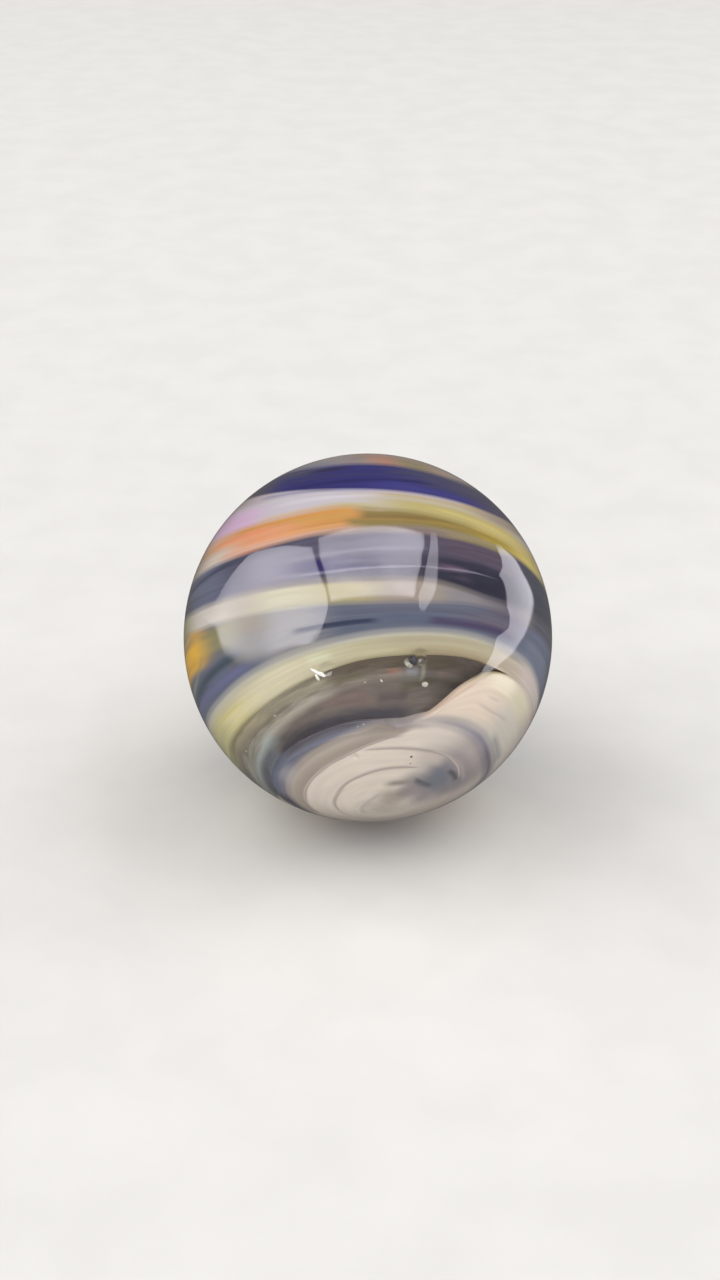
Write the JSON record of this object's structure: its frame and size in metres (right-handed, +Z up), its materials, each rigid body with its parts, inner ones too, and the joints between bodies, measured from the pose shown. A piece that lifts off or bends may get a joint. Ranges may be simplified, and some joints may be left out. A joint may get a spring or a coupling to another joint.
{
  "type": "glass marble",
  "caption": "Solid glass playing marble: a ball with wound ribbons of coloured glass in its skin, a crescent clear window and a spiral end.",
  "frame": {"origin": "centre of the ball", "axes": "+Z up, -Y to the front, where the clear window is, +X to the right; the swirl's lower end points forward and 34 degrees down"},
  "size_m": [0.016, 0.016, 0.016],
  "materials": {
    "swirl_glass": "fire-polished gloss"
  },
  "bodies": {
    "root": {"marble": "swirl_glass"}
  },
  "joints": []
}
